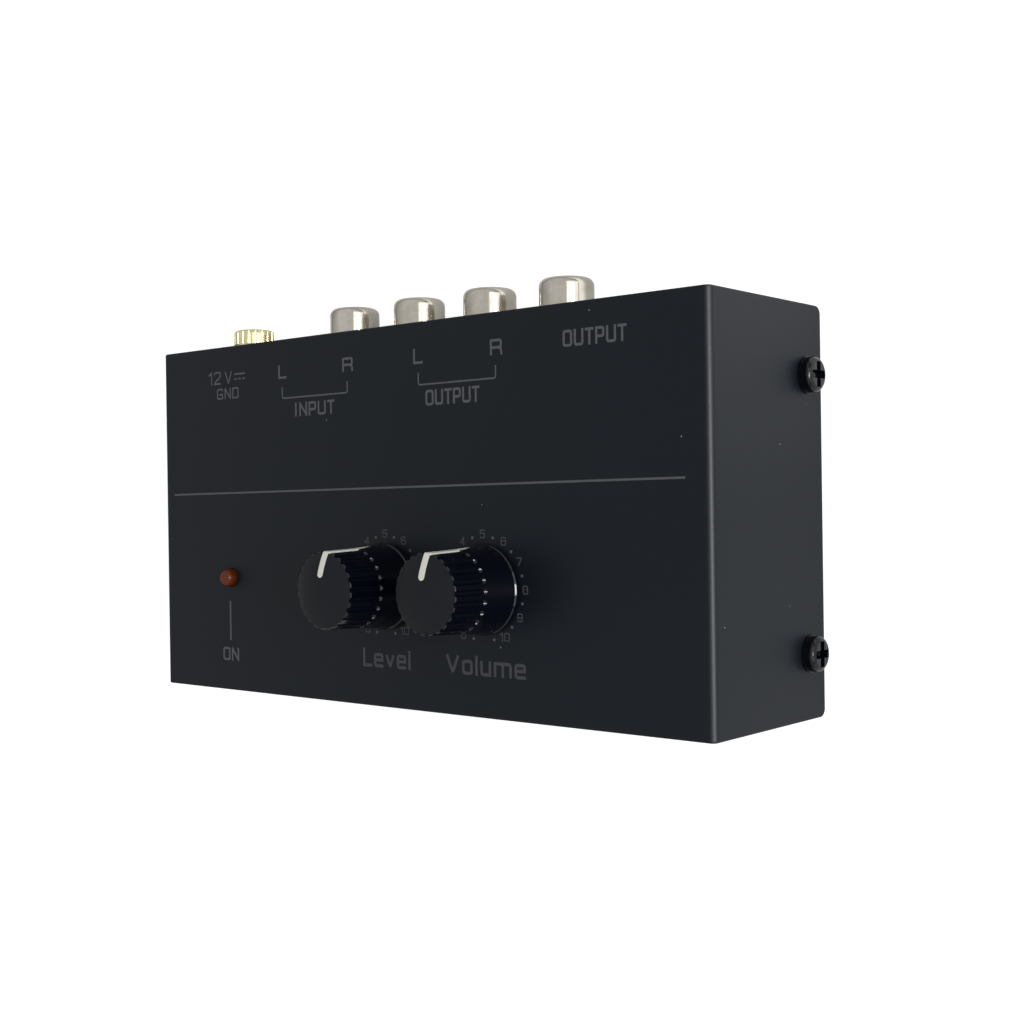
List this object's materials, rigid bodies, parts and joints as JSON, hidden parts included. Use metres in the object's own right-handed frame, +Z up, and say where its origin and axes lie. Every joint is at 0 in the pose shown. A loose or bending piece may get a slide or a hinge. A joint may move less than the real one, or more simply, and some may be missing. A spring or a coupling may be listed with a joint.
{
  "type": "phono preamplifier",
  "caption": "Small black metal phono preamplifier with fluted level and volume dials on top, a power light, and phono, stereo, power and ground connections at the rear.",
  "frame": {"origin": "on the surface that the feet stand on, midway across the case, and midway between its front face and the tips of the phono jacks", "axes": "+Z up through the top panel with the dials, +Y to the rear where the jacks are, +X to the right seen from the front"},
  "size_m": [0.1158, 0.0638, 0.0449],
  "materials": {
    "case_paint": "fine satin black powder coat on folded steel",
    "tray_paint": "fine satin black powder coat on folded steel",
    "black_screw": "glossy black-plated steel",
    "zinc_steel": "bright zinc-plated steel",
    "tinned_metal": "tin-plated",
    "rubber": "matt moulded rubber",
    "board": "green solder mask on glass-fibre laminate",
    "nickel": "nickel-plated brass",
    "white_insulator": "moulded",
    "red_insulator": "moulded",
    "contact": "gold-flashed brass",
    "black_moulding": "moulded, matt",
    "spring_metal": "plated spring strip",
    "gold": "gold-plated, turned",
    "green_wire": "extruded insulation",
    "knob": "glossy sides, matt face",
    "pointer": "white, moulded in",
    "can_metal": "stamped and plated",
    "bushing": "nickel-plated brass",
    "shaft": "turned and knurled",
    "track": "laminate with a printed carbon track",
    "led": "diffused amber epoxy, unlit",
    "can_sleeve": "shrunk sleeve with a bare aluminium top",
    "film_box": "moulded box",
    "resistor": "lacquered",
    "chip": "moulded epoxy"
  },
  "bodies": {
    "preamp": {"base_tray": "tray_paint", "board_screws": "zinc_steel", "board_standoffs": "zinc_steel", "circuit_board": "board", "cover_screws": "black_screw", "dc_jack_block": "black_moulding", "dc_jack_pin": "nickel", "dc_jack_spring": "spring_metal", "electrolytic_capacitors": "can_sleeve", "film_capacitors": "film_box", "ground_lug": "tinned_metal", "ground_nut": "gold", "ground_wire": "green_wire", "input_left_jack_barrel": "nickel", "input_left_jack_block": "black_moulding", "input_left_jack_contact": "contact", "input_left_jack_insulator": "white_insulator", "input_right_jack_barrel": "nickel", "input_right_jack_block": "black_moulding", "input_right_jack_contact": "contact", "input_right_jack_insulator": "red_insulator", "led_legs": "tinned_metal", "led_lens": "led", "led_spacer": "black_moulding", "level_pot_bushing": "bushing", "level_pot_case": "can_metal", "level_pot_terminals": "tinned_metal", "level_pot_track": "track", "op_amp_chips": "chip", "output_left_jack_barrel": "nickel", "output_left_jack_block": "black_moulding", "output_left_jack_contact": "contact", "output_left_jack_insulator": "white_insulator", "output_right_jack_barrel": "nickel", "output_right_jack_block": "black_moulding", "output_right_jack_contact": "contact", "output_right_jack_insulator": "red_insulator", "protection_diode": "chip", "resistors": "resistor", "rubber_feet": "rubber", "stereo_jack_block": "black_moulding", "stereo_jack_ring_spring": "spring_metal", "stereo_jack_sleeve_spring": "spring_metal", "stereo_jack_tip_spring": "spring_metal", "top_cover": "case_paint", "voltage_regulator": "chip", "volume_pot_bushing": "bushing", "volume_pot_case": "can_metal", "volume_pot_terminals": "tinned_metal", "volume_pot_track": "track"},
    "level_dial": {"level_knob": "knob", "level_knob_pointer": "pointer", "level_pot_shaft": "shaft", "level_pot_wiper": "contact"},
    "volume_dial": {"volume_knob": "knob", "volume_knob_pointer": "pointer", "volume_pot_shaft": "shaft", "volume_pot_wiper": "contact"},
    "ground_washer": {"ground_washer": "gold"},
    "ground_screw": {"ground_thumb_screw": "gold"}
  },
  "joints": [
    {"name": "level_turn", "type": "hinge", "parent": "preamp", "child": "level_dial", "pos_m": [-0.0014, -0.01358, 0.031], "axis": [0, 0, 1], "range_deg": [-144.4, 155.6]},
    {"name": "volume_turn", "type": "hinge", "parent": "preamp", "child": "volume_dial", "pos_m": [0.0182, -0.01358, 0.031], "axis": [0, 0, 1], "range_deg": [-144.3, 155.7]},
    {"name": "ground_screw_travel", "type": "slide", "parent": "preamp", "child": "ground_washer", "axis": [0, 1, 0], "range_m": [0, 0.0021]},
    {"name": "ground_screw_turn", "type": "hinge", "parent": "ground_washer", "child": "ground_screw", "pos_m": [-0.0382, 0.02558, 0.0253], "axis": [0, 1, 0], "range_deg": [0, 1080]}
  ],
  "couplings": [
    {"joint": "ground_screw_turn", "follows": "ground_screw_travel", "rad_per_m": 8976}
  ]
}
